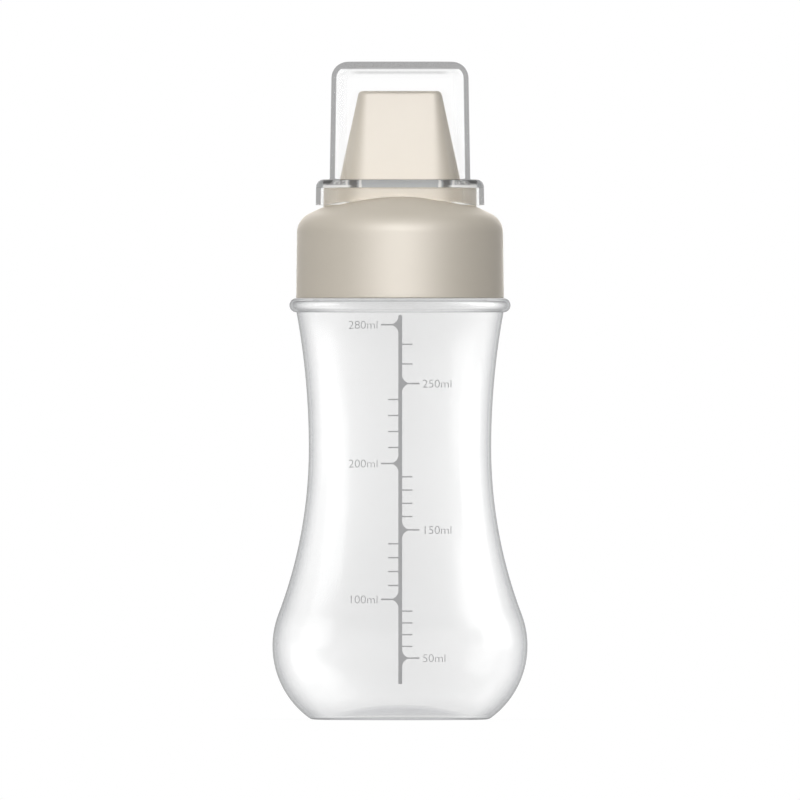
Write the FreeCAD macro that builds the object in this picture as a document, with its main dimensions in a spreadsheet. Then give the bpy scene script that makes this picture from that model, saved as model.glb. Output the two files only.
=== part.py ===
import FreeCAD, Part
import math
import os
import Sketcher

# A squeeze bottle for sauces: a blow-moulded bottle with a threaded neck, a soft seal ring,
# a domed screw cap, a long-oval nozzle with a row of outlets and a clear cover over the nozzle.
# The origin is the centre of the base, +Z is up, and the long side of the nozzle lies along X.

# Driving sizes in millimetres, angles in degrees: name, value, what it measures.
DRIVING_SIZES = [
    ("overrun", 1.0, "how far every cut runs past the surface it opens"),
    ("bottle_wall", 1.0, "wall of the blown bottle"),
    ("base_push_up", 3.2, "height of the hollow in the middle of the base"),
    ("base_ring_width", 4.2, "width of the flat ring that the bottle stands on"),
    ("base_corner", 3.0, "radius between the standing ring and the belly"),
    ("base_inset", 11.9, "from the widest line of the belly in to the edge of the standing ring"),
    ("belly_height", 20.8, "height of the widest line of the belly"),
    ("belly_curve", 25.5, "radius of the belly above its widest line"),
    ("belly_swell", 10.3, "how far the belly stands out from the waist"),
    ("waist_rise", 56.2, "from the belly's widest line up to the narrowest line of the waist"),
    ("waist_inset", 3.5, "how far the waist is drawn in from the shoulder"),
    ("shoulder_rise", 38.2, "from the waist up to the bead under the cap"),
    ("shoulder_step", 3.35, "how far the shoulder stands out from the neck"),
    ("bead_thickness", 4.0, "height of the round bead under the cap"),
    ("neck_radius", 26.0, "outside of the neck under its thread"),
    ("neck_wall", 1.6, "wall of the neck"),
    ("neck_height", 19.2, "from the top of the bead to the rim"),
    ("thread_pitch", 4.2, "rise of the thread in one turn"),
    ("thread_depth", 1.2, "how far a thread stands out from its wall"),
    ("thread_base_width", 2.0, "width of a thread at its wall"),
    ("thread_crest_width", 0.9, "width of a thread at its crest"),
    ("thread_root", 0.3, "how deep a thread is rooted in its wall"),
    ("thread_clearance", 0.4, "from a crest to the wall it faces"),
    ("thread_flank_gap", 0.25, "play between the pressed flanks, along the axis"),
    ("neck_thread_drop", 3.65, "from the rim down to the upper end of the neck thread"),
    ("neck_thread_turns", 1.25, "turns of the neck thread"),
    ("cap_thread_turns", 1.0, "turns of the cap thread"),
    ("seal_thickness", 1.6, "thickness of the seal ring"),
    ("seal_overhang", 1.0, "how far the seal ring reaches in past the neck's bore"),
    ("seal_clearance", 0.4, "from the seal ring out to the cap's bore"),
    ("cap_gap", 0.3, "from the bead up to the lower edge of the cap"),
    ("cap_wall", 1.85, "wall of the cap at its lower edge"),
    ("cap_draft_inset", 0.2, "how much the cap narrows up to its shoulder"),
    ("cap_ledge_lip", 0.5, "how far the sealing ledge reaches in past the seal ring"),
    ("cap_shoulder_drop", 2.0, "from the sealing ledge down to where the shoulder starts"),
    ("cap_shoulder_curve", 6.0, "radius of the shoulder between wall and dome"),
    ("cap_dome_rise", 9.6, "from the sealing ledge up to the top of the dome"),
    ("cap_dome_wall", 1.6, "wall of the dome"),
    ("spout_flat", 9.0, "half the straight length of nozzle, collar and cover"),
    ("collar_radius", 12.7, "radius of the collar's round ends"),
    ("collar_rise", 1.1, "from the top of the dome up to the top of the collar"),
    ("collar_wall", 1.6, "wall of the collar"),
    ("collar_plate", 1.8, "thickness of the collar's top plate"),
    ("nozzle_radius", 8.62, "radius of the nozzle's round ends where it leaves the collar"),
    ("nozzle_height", 27.5, "from the collar up to the nozzle's tip"),
    ("nozzle_taper", 12.25, "slope of the nozzle's walls"),
    ("nozzle_wall", 1.5, "wall of the nozzle"),
    ("nozzle_roof", 2.0, "thickness of the nozzle's tip"),
    ("nozzle_tip_round", 1.3, "radius of the edge round the tip"),
    ("nozzle_flange", 1.5, "thickness of the nozzle's flange under the collar plate"),
    ("nozzle_clearance", 0.1, "play of the nozzle in the collar"),
    ("snap_height", 0.3, "how far the snap bead stands out from the flange"),
    ("snap_width", 0.5, "width of the snap bead"),
    ("outlet_count", 5, "number of outlets in the tip"),
    ("outlet_diameter", 2.6, "bore of each outlet"),
    ("outlet_pitch", 4.4, "from outlet to outlet"),
    ("cover_clearance", 0.25, "play of the cover's skirt on the collar"),
    ("cover_draft", 1.0, "slope of the cover's walls"),
    ("cover_skirt_wall", 1.95, "wall of the cover's skirt at its lower edge"),
    ("cover_skirt_depth", 5.0, "how far the skirt reaches down the collar"),
    ("cover_dome_gap", 0.4, "from the dome up to the skirt"),
    ("cover_plate", 2.4, "thickness of the cover's flange"),
    ("cover_plate_round", 1.7, "radius of the flange's upper edge"),
    ("cover_nozzle_gap", 0.82, "room between the nozzle's foot and the cover"),
    ("cover_wall", 1.5, "wall of the cover above its flange"),
    ("cover_headroom", 6.1, "room above the nozzle's tip"),
    ("cover_top", 2.2, "thickness of the cover's top"),
    ("cover_top_round", 3.4, "radius of the cover's upper edge outside"),
    ("cover_inner_round", 2.0, "radius of the cover's upper edge inside"),
]

# A length within this of another counts as the same when an edge is looked for by its height.
SAME_HEIGHT = 1e-4


class Size:
    """A length with its value now and the expression that binds it to the sheet."""

    def __init__(self, value, text):
        self.value = value
        self.text = text

    def join(self, sign, other, value):
        return Size(value, f"({self.text} {sign} {as_size(other).text})")

    def __add__(self, other):
        return self.join("+", other, self.value + as_size(other).value)

    def __sub__(self, other):
        return self.join("-", other, self.value - as_size(other).value)

    def __mul__(self, other):
        return self.join("*", other, self.value * as_size(other).value)

    def __truediv__(self, other):
        return self.join("/", other, self.value / as_size(other).value)


def as_size(number):
    if isinstance(number, Size):
        return number
    return Size(float(number), str(number))


doc = FreeCAD.newDocument("squeeze_bottle")
sheet = doc.addObject("Spreadsheet::Sheet", "sizes")
size = {}
for row, (alias, value, meaning) in enumerate(DRIVING_SIZES, start=1):
    sheet.set(f"A{row}", meaning)
    sheet.set(f"B{row}", str(value))
    sheet.setAlias(f"B{row}", alias)
    size[alias] = Size(float(value), f"sizes.{alias}")
doc.recompute()

ZERO = as_size(0)

# Radii of the bottle, from the neck outwards.
shoulder_radius = size["neck_radius"] + size["shoulder_step"]
waist_radius = shoulder_radius - size["waist_inset"]
belly_radius = waist_radius + size["belly_swell"]
standing_radius = belly_radius - size["base_inset"]
neck_bore = size["neck_radius"] - size["neck_wall"]

# Heights of the bottle, from the base up.
waist_height = size["belly_height"] + size["waist_rise"]
shoulder_height = waist_height + size["shoulder_rise"]
bead_top = shoulder_height + size["bead_thickness"]
neck_top = bead_top + size["neck_height"]

# The cap's bore clears the neck thread, and its ledge closes on the seal ring.
cap_bottom = bead_top + size["cap_gap"]
cap_bore = size["neck_radius"] + size["thread_depth"] + size["thread_clearance"]
cap_radius = cap_bore + size["cap_wall"]
cap_top_radius = cap_radius - size["cap_draft_inset"]
cap_ledge = neck_top + size["seal_thickness"]
seal_inner_radius = neck_bore - size["seal_overhang"]
ledge_radius = seal_inner_radius - size["cap_ledge_lip"]

# The dome is a sphere whose edge runs smoothly into the shoulder's radius.
shoulder_start = cap_ledge - size["cap_shoulder_drop"]
shoulder_centre = cap_top_radius - size["cap_shoulder_curve"]
dome_top = cap_ledge + size["cap_dome_rise"]
dome_above_shoulder = dome_top - shoulder_start
dome_radius = (
    shoulder_centre * shoulder_centre
    + dome_above_shoulder * dome_above_shoulder
    - size["cap_shoulder_curve"] * size["cap_shoulder_curve"]
) / ((dome_above_shoulder - size["cap_shoulder_curve"]) * 2)
dome_centre = dome_top - dome_radius

# Heights of collar, nozzle and cover.
collar_top = dome_top + size["collar_rise"]
flange_top = collar_top - size["collar_plate"]
flange_bottom = flange_top - size["nozzle_flange"]
nozzle_top = collar_top + size["nozzle_height"]
cover_shelf = collar_top + size["cover_plate"]
cover_ceiling = nozzle_top + size["cover_headroom"]
cover_top = cover_ceiling + size["cover_top"]
cover_hem = collar_top - size["cover_skirt_depth"]
collar_bore = size["collar_radius"] - size["collar_wall"]
cover_foot_bore = size["nozzle_radius"] + size["cover_nozzle_gap"]


def origin_plane(body, role):
    return next(feature for feature in body.Origin.OriginFeatures if feature.Role == role)


def new_sketch(body, name, role, height=None):
    """A sketch on one of the body's own planes, raised by height."""
    sketch = body.newObject("Sketcher::SketchObject", name)
    sketch.AttachmentSupport = [(origin_plane(body, role), "")]
    sketch.MapMode = "FlatFace"
    if height is not None:
        sketch.setExpression("AttachmentOffset.Base.z", height.text)
    return sketch


def bind(sketch, kind, *parts):
    """Adds a dimension to a sketch and binds it to the sheet; its last part is the size."""
    length = parts[-1]
    index = sketch.addConstraint(Sketcher.Constraint(kind, *parts[:-1], length.value))
    sketch.setExpression(f"Constraints[{index}]", length.text)


class Outline:
    """A closed loop of lines and arcs; each given size is bound, each plain number is solved."""

    def __init__(self, sketch, x, y):
        self.sketch = sketch
        self.first = (x, y)
        self.at = (x, y)
        self.edge = None
        self.head = None
        self.first_edge = None
        self.first_tail = None

    def numbers(self, point):
        return FreeCAD.Vector(as_size(point[0]).value, as_size(point[1]).value, 0)

    def add(self, geometry, tail, head, target, smooth=False):
        index = self.sketch.addGeometry(geometry, False)
        if self.edge is None:
            self.first_edge = index
            self.first_tail = tail
            self.fix(index, tail, self.first)
        else:
            kind = "Tangent" if smooth else "Coincident"
            self.sketch.addConstraint(Sketcher.Constraint(kind, self.edge, self.head, index, tail))
        self.edge = index
        self.head = head
        self.at = target
        return index

    def fix(self, index, corner, point):
        """Ties a corner to the sheet, or to the sketch's axis where its size is zero."""
        for kind, axis, length in (("DistanceX", -2, point[0]), ("DistanceY", -1, point[1])):
            if not isinstance(length, Size):
                continue
            if length is ZERO:
                self.sketch.addConstraint(Sketcher.Constraint("PointOnObject", index, corner, axis))
            else:
                bind(self.sketch, kind, index, corner, length)

    def line(self, x, y):
        index = self.add(Part.LineSegment(self.numbers(self.at), self.numbers((x, y))), 1, 2, (x, y))
        self.fix(index, 2, (x, y))
        return index

    def arc(self, x, y, centre, turns_left, smooth=False, radius=None):
        middle = self.numbers(centre)
        start = self.numbers(self.at) - middle
        end = self.numbers((x, y)) - middle
        start_angle = math.atan2(start.y, start.x)
        end_angle = math.atan2(end.y, end.x)
        circle = Part.Circle(middle, FreeCAD.Vector(0, 0, 1), start.Length)
        if turns_left:
            index = self.add(Part.ArcOfCircle(circle, start_angle, end_angle), 1, 2, (x, y), smooth)
        else:
            index = self.add(Part.ArcOfCircle(circle, end_angle, start_angle), 2, 1, (x, y), smooth)
        self.fix(index, self.head, (x, y))
        if radius is not None:
            bind(self.sketch, "Radius", index, radius)
        return index

    def level(self, index):
        """The arc's centre lies at the height of its last corner."""
        self.sketch.addConstraint(Sketcher.Constraint("Horizontal", index, 3, index, self.head))

    def plumb(self, index):
        """The arc's centre lies straight above or below its last corner."""
        self.sketch.addConstraint(Sketcher.Constraint("Vertical", index, 3, index, self.head))

    def centre_on_axis(self, index):
        self.sketch.addConstraint(Sketcher.Constraint("PointOnObject", index, 3, -2))

    def close(self):
        index = self.add(Part.LineSegment(self.numbers(self.at), self.numbers(self.first)), 1, 2, self.first)
        self.sketch.addConstraint(
            Sketcher.Constraint("Coincident", index, 2, self.first_edge, self.first_tail))


def long_oval(body, name, height, radius):
    """A level long oval: two round ends, spout_flat either side of the middle."""
    sketch = new_sketch(body, name, "XY_Plane", height)
    flat = size["spout_flat"].value
    end = radius.value
    up = FreeCAD.Vector(0, 0, 1)
    quarter = math.pi / 2
    right = sketch.addGeometry(
        Part.ArcOfCircle(Part.Circle(FreeCAD.Vector(flat, 0, 0), up, end), -quarter, quarter), False)
    back = sketch.addGeometry(
        Part.LineSegment(FreeCAD.Vector(flat, end, 0), FreeCAD.Vector(-flat, end, 0)), False)
    left = sketch.addGeometry(
        Part.ArcOfCircle(Part.Circle(FreeCAD.Vector(-flat, 0, 0), up, end), quarter, 3 * quarter), False)
    front = sketch.addGeometry(
        Part.LineSegment(FreeCAD.Vector(-flat, -end, 0), FreeCAD.Vector(flat, -end, 0)), False)
    for edge, following in ((right, back), (back, left), (left, front), (front, right)):
        sketch.addConstraint(Sketcher.Constraint("Tangent", edge, 2, following, 1))
    sketch.addConstraint(Sketcher.Constraint("PointOnObject", right, 3, -1))
    sketch.addConstraint(Sketcher.Constraint("Symmetric", right, 3, left, 3, -1, 1))
    sketch.addConstraint(Sketcher.Constraint("Equal", right, left))
    bind(sketch, "DistanceX", right, 3, size["spout_flat"])
    bind(sketch, "Radius", right, radius)
    return sketch


def sweep_round(body, kind, name, sketch):
    """Turns a sketch once about the upright axis, to add or to cut."""
    feature = body.newObject(f"PartDesign::{kind}", name)
    feature.Profile = sketch
    feature.ReferenceAxis = (sketch, ["V_Axis"])
    feature.Angle = 360
    doc.recompute()
    return feature


def raise_oval(body, kind, name, sketch, length, upwards=True, taper=None):
    """Pads or pockets a level sketch over a length, with walls that lean in by taper."""
    feature = body.newObject(f"PartDesign::{kind}", name)
    feature.Profile = sketch
    feature.Reversed = upwards if kind == "Pocket" else not upwards
    feature.setExpression("Length", length.text)
    if taper is not None:
        feature.setExpression("TaperAngle", (taper * -1).text)
    doc.recompute()
    return feature


def thread(body, name, wall_radius, outwards, height, turns):
    """A right-hand thread with sloping flanks, rooted in a round wall."""
    sketch = new_sketch(body, name + "_section", "XZ_Plane")
    side = 1 if outwards else -1
    root = wall_radius - size["thread_root"] * side
    crest = wall_radius + size["thread_depth"] * side
    half_base = size["thread_base_width"] / 2
    half_crest = size["thread_crest_width"] / 2
    section = Outline(sketch, root, height - half_base)
    section.line(wall_radius, height - half_base)
    section.line(crest, height - half_crest)
    section.line(crest, height + half_crest)
    section.line(wall_radius, height + half_base)
    section.line(root, height + half_base)
    section.close()
    helix = body.newObject("PartDesign::AdditiveHelix", name)
    helix.Profile = sketch
    helix.ReferenceAxis = (sketch, ["V_Axis"])
    helix.Mode = "pitch-turns-angle"
    helix.setExpression("Pitch", size["thread_pitch"].text)
    helix.setExpression("Turns", turns.text)
    doc.recompute()
    return helix


def round_edges(body, name, base, edges, radius):
    fillet = body.newObject("PartDesign::Fillet", name)
    fillet.Base = (base, edges)
    fillet.setExpression("Radius", radius.text)
    doc.recompute()
    return fillet


def edges_at(feature, height, least_reach=ZERO):
    """Names of the level edges at a height that lie at least so far from the long middle line."""
    names = []
    for number, edge in enumerate(feature.Shape.Edges, start=1):
        heights = [vertex.Z for vertex in edge.Vertexes]
        level = all(abs(z - height.value) < SAME_HEIGHT for z in heights)
        far = all(abs(vertex.Y) > least_reach.value - SAME_HEIGHT for vertex in edge.Vertexes)
        if level and far:
            names.append(f"Edge{number}")
    return names


def bottle_wall_line(outline, depth):
    """The line of the bottle's wall from the base to the shoulder, at a depth in the wall."""
    corner = size["base_corner"] - depth
    belly = belly_radius - depth
    waist = waist_radius - depth
    shoulder = shoulder_radius - depth
    belly_above = size["belly_curve"] - depth

    # The belly below its widest line meets both the base corner and the widest line smoothly.
    rise = size["belly_height"].value - depth.value - corner.value
    inset = belly.value - standing_radius.value
    lower = (inset**2 + rise**2 - corner.value**2) / (2 * (inset - corner.value))
    lower_centre = (belly.value - lower, size["belly_height"].value)
    corner_centre = (standing_radius.value, depth.value + corner.value)
    away = math.atan2(corner_centre[1] - lower_centre[1], corner_centre[0] - lower_centre[0])
    corner_end = (
        lower_centre[0] + lower * math.cos(away),
        lower_centre[1] + lower * math.sin(away),
    )

    # The waist is one hollow arc up from the belly and another up to the shoulder.
    swell = belly.value - waist.value
    reach = belly_above.value - swell
    hollow = (reach**2 + size["waist_rise"].value**2 - belly_above.value**2) / (2 * swell)
    hollow_centre = (waist.value + hollow, waist_height.value)
    belly_centre = (belly.value - belly_above.value, size["belly_height"].value)
    towards = math.atan2(hollow_centre[1] - belly_centre[1], hollow_centre[0] - belly_centre[0])
    belly_end = (
        belly_centre[0] + belly_above.value * math.cos(towards),
        belly_centre[1] + belly_above.value * math.sin(towards),
    )
    drawn_in = shoulder.value - waist.value
    upper = (drawn_in**2 + size["shoulder_rise"].value**2) / (2 * drawn_in)
    upper_centre = (waist.value + upper, waist_height.value)

    outline.arc(*corner_end, corner_centre, turns_left=True, smooth=True, radius=corner)
    lower_arc = outline.arc(belly, size["belly_height"], lower_centre, turns_left=True, smooth=True)
    outline.level(lower_arc)
    outline.arc(*belly_end, belly_centre, turns_left=True, smooth=True, radius=belly_above)
    hollow_arc = outline.arc(waist, waist_height, hollow_centre, turns_left=False, smooth=True)
    outline.level(hollow_arc)
    outline.arc(shoulder, shoulder_height, upper_centre, turns_left=False, smooth=True)


def make_bottle_body():
    """The blown bottle: pushed-up base, belly, waist, bead and threaded neck."""
    body = doc.addObject("PartDesign::Body", "bottle_body")
    ring_inner = standing_radius - size["base_ring_width"]
    push_up_radius = (
        (ring_inner * ring_inner + size["base_push_up"] * size["base_push_up"]) / (size["base_push_up"] * 2)
    )
    push_up_centre = (0, size["base_push_up"].value - push_up_radius.value)

    outside = Outline(new_sketch(body, "bottle_outside", "XZ_Plane"), ZERO, size["base_push_up"])
    push_up = outside.arc(ring_inner, ZERO, push_up_centre, turns_left=False)
    outside.centre_on_axis(push_up)
    outside.line(standing_radius, ZERO)
    bottle_wall_line(outside, ZERO)
    bead_middle = (shoulder_radius, shoulder_height + size["bead_thickness"] / 2)
    bead = outside.arc(shoulder_radius, bead_top, bead_middle, turns_left=True)
    outside.plumb(bead)
    outside.line(size["neck_radius"], bead_top)
    outside.line(size["neck_radius"], neck_top)
    outside.line(ZERO, neck_top)
    outside.close()
    sweep_round(body, "Revolution", "bottle_blank", outside.sketch)

    # The inside follows the outside one wall in, and runs out through the neck.
    wall = size["bottle_wall"]
    inner_push_up = push_up_radius + wall
    floor_reach = math.sqrt(inner_push_up.value**2 - (wall.value - push_up_centre[1]) ** 2)
    inside = Outline(new_sketch(body, "bottle_inside", "XZ_Plane"), ZERO, size["base_push_up"] + wall)
    inner_dome = inside.arc(floor_reach, wall, push_up_centre, turns_left=False, radius=inner_push_up)
    inside.centre_on_axis(inner_dome)
    inside.line(standing_radius, wall)
    bottle_wall_line(inside, wall)
    inside.line(neck_bore, bead_top - size["neck_wall"])
    inside.line(neck_bore, neck_top + size["overrun"])
    inside.line(ZERO, neck_top + size["overrun"])
    inside.close()
    sweep_round(body, "Groove", "bottle_hollow", inside.sketch)

    thread(body, "neck_thread", size["neck_radius"], True, neck_thread_start(), size["neck_thread_turns"])
    return body


def neck_thread_start():
    return neck_top - size["neck_thread_drop"] - size["thread_pitch"] * size["neck_thread_turns"]


def make_seal_ring():
    """The soft ring that the cap presses on the rim of the neck."""
    body = doc.addObject("PartDesign::Body", "seal_ring")
    outer = cap_bore - size["seal_clearance"]
    section = Outline(new_sketch(body, "seal_section", "XZ_Plane"), seal_inner_radius, neck_top)
    section.line(outer, neck_top)
    section.line(outer, cap_ledge)
    section.line(seal_inner_radius, cap_ledge)
    section.close()
    sweep_round(body, "Revolution", "seal", section.sketch)
    return body


def make_screw_cap():
    """The domed cap with its collar, the seat of the nozzle and the inside thread."""
    body = doc.addObject("PartDesign::Body", "screw_cap")
    curve = size["cap_shoulder_curve"].value
    turn = math.atan2(shoulder_start.value - dome_centre.value, shoulder_centre.value)
    dome_edge = (
        shoulder_centre.value + curve * math.cos(turn),
        shoulder_start.value + curve * math.sin(turn),
    )

    outside = Outline(new_sketch(body, "cap_outside", "XZ_Plane"), ZERO, cap_bottom)
    outside.line(cap_radius, cap_bottom)
    outside.line(cap_top_radius, shoulder_start)
    shoulder_arc = outside.arc(*dome_edge, (shoulder_centre, shoulder_start), turns_left=True)
    bind(outside.sketch, "DistanceX", shoulder_arc, 3, shoulder_centre)
    bind(outside.sketch, "DistanceY", shoulder_arc, 3, shoulder_start)
    dome = outside.arc(ZERO, dome_top, (0, dome_centre), turns_left=True, smooth=True)
    outside.centre_on_axis(dome)
    outside.close()
    sweep_round(body, "Revolution", "cap_blank", outside.sketch)

    # The collar grows out of the dome.
    collar = long_oval(body, "collar_outline", cap_ledge, size["collar_radius"])
    raise_oval(body, "Pad", "collar", collar, collar_top - cap_ledge)

    # The bore for the neck, the sealing ledge and the room under the dome.
    under_dome = dome_radius - size["cap_dome_wall"]
    spring = dome_centre.value + math.sqrt(under_dome.value**2 - ledge_radius.value**2)
    mouth = cap_bottom - size["overrun"]
    inside = Outline(new_sketch(body, "cap_inside", "XZ_Plane"), ZERO, mouth)
    inside.line(cap_bore, mouth)
    inside.line(cap_bore, cap_ledge)
    inside.line(ledge_radius, cap_ledge)
    inside.line(ledge_radius, spring)
    ceiling = inside.arc(ZERO, dome_top - size["cap_dome_wall"], (0, dome_centre), turns_left=True,
                         radius=under_dome)
    inside.centre_on_axis(ceiling)
    inside.close()
    sweep_round(body, "Groove", "cap_hollow", inside.sketch)

    # The nozzle's seat: a pocket under the collar plate, its snap groove and the slot above.
    seat = long_oval(body, "seat_outline", flange_top, collar_bore)
    raise_oval(body, "Pocket", "nozzle_seat", seat, flange_top - cap_ledge, upwards=False)
    groove_width = size["snap_width"] + size["nozzle_clearance"] * 2
    groove_top = (flange_top + flange_bottom + groove_width) / 2
    groove = long_oval(body, "snap_groove_outline", groove_top, collar_bore + size["snap_height"])
    raise_oval(body, "Pocket", "snap_groove", groove, groove_width, upwards=False)
    slot = long_oval(body, "slot_outline", collar_top, size["nozzle_radius"] + size["nozzle_clearance"])
    raise_oval(body, "Pocket", "nozzle_slot", slot, size["collar_plate"] + size["overrun"], upwards=False)

    # The cap thread lies under the neck thread, pressed flank to pressed flank but for the play.
    flank_to_flank = (
        size["thread_base_width"] * 2
        - (size["thread_base_width"] - size["thread_crest_width"])
        * (size["thread_depth"] + size["thread_clearance"])
        / size["thread_depth"]
    )
    start = neck_thread_start() - flank_to_flank / 2 - size["thread_flank_gap"]
    thread(body, "cap_thread", cap_bore, False, start, size["cap_thread_turns"])
    return body


def make_nozzle():
    """The tapered spout: a flange that snaps under the collar plate and a row of outlets."""
    body = doc.addObject("PartDesign::Body", "nozzle")
    flange_radius = collar_bore - size["nozzle_clearance"]
    flange = long_oval(body, "flange_outline", flange_bottom, flange_radius)
    raise_oval(body, "Pad", "flange", flange, size["nozzle_flange"])
    bead_bottom = (flange_top + flange_bottom - size["snap_width"]) / 2
    bead = long_oval(body, "snap_bead_outline", bead_bottom, flange_radius + size["snap_height"])
    raise_oval(body, "Pad", "snap_bead", bead, size["snap_width"])
    stem = long_oval(body, "stem_outline", flange_top, size["nozzle_radius"])
    raise_oval(body, "Pad", "stem", stem, size["collar_plate"])
    spout = long_oval(body, "spout_outline", collar_top, size["nozzle_radius"])
    horn = raise_oval(body, "Pad", "spout", spout, size["nozzle_height"], taper=size["nozzle_taper"])
    round_edges(body, "tip_round", horn, edges_at(horn, nozzle_top), size["nozzle_tip_round"])

    # The channel inside: straight through the collar, then narrowing with the walls.
    bore = size["nozzle_radius"] - size["nozzle_wall"]
    inlet = long_oval(body, "inlet_outline", flange_bottom, bore)
    raise_oval(body, "Pocket", "inlet", inlet, collar_top - flange_bottom)
    channel = long_oval(body, "channel_outline", collar_top, bore)
    raise_oval(body, "Pocket", "channel", channel, size["nozzle_height"] - size["nozzle_roof"],
               taper=size["nozzle_taper"])

    # One outlet at the end of the row, repeated along it.
    row_length = size["outlet_pitch"] * (size["outlet_count"] - 1)
    sketch = new_sketch(body, "outlet_outline", "XY_Plane", nozzle_top)
    first = FreeCAD.Vector(row_length.value / 2, 0, 0)
    circle = sketch.addGeometry(
        Part.Circle(first, FreeCAD.Vector(0, 0, 1), size["outlet_diameter"].value / 2), False)
    sketch.addConstraint(Sketcher.Constraint("PointOnObject", circle, 3, -1))
    bind(sketch, "DistanceX", circle, 3, row_length / 2)
    bind(sketch, "Diameter", circle, size["outlet_diameter"])
    outlet = raise_oval(body, "Pocket", "outlet", sketch, size["nozzle_roof"] + size["overrun"], upwards=False)
    row = body.newObject("PartDesign::LinearPattern", "outlet_row")
    row.Originals = [outlet]
    row.Direction = (sketch, ["H_Axis"])
    row.Reversed = True
    row.setExpression("Length", row_length.text)
    row.setExpression("Occurrences", size["outlet_count"].text)
    body.Tip = row
    doc.recompute()
    return body


def make_dust_cover():
    """The clear cover: a skirt round the collar, a flange on its top and a tall hood."""
    body = doc.addObject("PartDesign::Body", "dust_cover")
    skirt_bore = size["collar_radius"] + size["cover_clearance"]
    draft = size["cover_draft"]
    skirt = long_oval(body, "skirt_outline", cover_hem, skirt_bore + size["cover_skirt_wall"])
    raise_oval(body, "Pad", "skirt", skirt, cover_shelf - cover_hem, taper=draft)
    hood = long_oval(body, "hood_outline", cover_shelf, cover_foot_bore + size["cover_wall"])
    tall = raise_oval(body, "Pad", "hood", hood, cover_top - cover_shelf, taper=draft)
    crown = round_edges(body, "hood_round", tall, edges_at(tall, cover_top), size["cover_top_round"])
    rim = edges_at(crown, cover_shelf, size["collar_radius"])
    round_edges(body, "flange_round", crown, rim, size["cover_plate_round"])

    # Inside, the collar's seat and the room for the nozzle.
    seat = long_oval(body, "collar_seat_outline", collar_top, skirt_bore)
    raise_oval(body, "Pocket", "collar_seat", seat, size["cover_skirt_depth"] + size["overrun"], upwards=False)
    room = long_oval(body, "room_outline", collar_top, cover_foot_bore)
    hollow = raise_oval(body, "Pocket", "nozzle_room", room, cover_ceiling - collar_top, taper=draft)
    round_edges(body, "ceiling_round", hollow, edges_at(hollow, cover_ceiling), size["cover_inner_round"])

    # The lower edge follows the dome.
    sphere = dome_radius + size["cover_dome_gap"]
    reach = size["spout_flat"] + skirt_bore + size["cover_skirt_wall"] + size["overrun"]
    brim = dome_centre.value + math.sqrt(sphere.value**2 - reach.value**2)
    below = cap_ledge - size["overrun"]
    clearing = Outline(new_sketch(body, "dome_clearing", "XZ_Plane"), ZERO, below)
    clearing.line(reach, below)
    clearing.line(reach, brim)
    curve = clearing.arc(ZERO, dome_top + size["cover_dome_gap"], (0, dome_centre), turns_left=True,
                         radius=sphere)
    clearing.centre_on_axis(curve)
    clearing.close()
    sweep_round(body, "Groove", "saddle", clearing.sketch)
    return body


bodies = [
    make_bottle_body(),
    make_seal_ring(),
    make_screw_cap(),
    make_nozzle(),
    make_dust_cover(),
]
doc.recompute()

for item in doc.Objects:
    faults = [state for state in item.State if state in ("Invalid", "Error")]
    if faults:
        raise RuntimeError(f"{item.Label} failed: {faults}")
for body in bodies:
    if body.Shape.isNull() or not body.Shape.isValid() or len(body.Shape.Solids) != 1:
        raise RuntimeError(f"{body.Label} is not one valid solid")

os.makedirs("parts", exist_ok=True)
for body in bodies:
    body.Shape.exportStep(f"parts/{body.Label}.step")
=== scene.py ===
import math

import bmesh
import bpy
import mathutils
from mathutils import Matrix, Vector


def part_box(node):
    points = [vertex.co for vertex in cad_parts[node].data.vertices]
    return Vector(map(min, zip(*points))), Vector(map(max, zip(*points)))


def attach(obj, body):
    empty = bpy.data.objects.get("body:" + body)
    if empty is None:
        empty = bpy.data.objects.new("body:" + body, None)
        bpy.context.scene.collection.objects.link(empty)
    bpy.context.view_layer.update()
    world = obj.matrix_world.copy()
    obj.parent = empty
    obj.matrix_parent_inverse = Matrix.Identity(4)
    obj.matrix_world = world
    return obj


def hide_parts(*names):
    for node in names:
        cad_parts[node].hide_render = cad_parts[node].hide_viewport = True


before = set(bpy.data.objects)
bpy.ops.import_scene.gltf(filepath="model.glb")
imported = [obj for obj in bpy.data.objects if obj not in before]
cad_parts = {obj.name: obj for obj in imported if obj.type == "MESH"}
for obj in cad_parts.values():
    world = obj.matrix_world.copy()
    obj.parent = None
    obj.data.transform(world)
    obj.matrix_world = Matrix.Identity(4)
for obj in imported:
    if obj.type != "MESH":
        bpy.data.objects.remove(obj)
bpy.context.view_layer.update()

# Bottle. One blow-moulded shell of milky soft plastic, drawn in at the waist for the hand that
# squeezes it. It stands on a flat ring round a pushed-up base, and its neck carries the thread
# that the cap turns on.
MM = 0.001
bottle_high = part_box("bottle_body")[1]
belly_radius = bottle_high.x
rim_height = bottle_high.z
bottle_wall = 1.0 * MM
push_up = 3.2 * MM
standing_ring = 4.2 * MM
standing_radius = belly_radius - 11.9 * MM
base_corner = 3.0 * MM
belly_height = 20.8 * MM
belly_curve = 25.5 * MM
waist_radius = belly_radius - 10.3 * MM
waist_rise = 56.2 * MM
waist_height = belly_height + waist_rise
shoulder_radius = waist_radius + 3.5 * MM
shoulder_rise = 38.45 * MM
shoulder_height = waist_height + shoulder_rise
bead_round = 2.0 * MM
bead_wall = 0.8 * MM
bead_top = shoulder_height + 2 * bead_round
neck_radius = shoulder_radius - 3.35 * MM
neck_wall = 1.6 * MM
neck_bore = neck_radius - neck_wall
neck_foot_round = 0.6 * MM
rim_round = 0.4 * MM
thread_pitch = 4.2 * MM
thread_depth = 1.2 * MM
thread_base = 2.0 * MM
thread_crest = 0.9 * MM
thread_root = 0.3 * MM
thread_steps = 96
neck_thread_turns = 1.25
neck_thread_gap = 3.65 * MM
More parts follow.
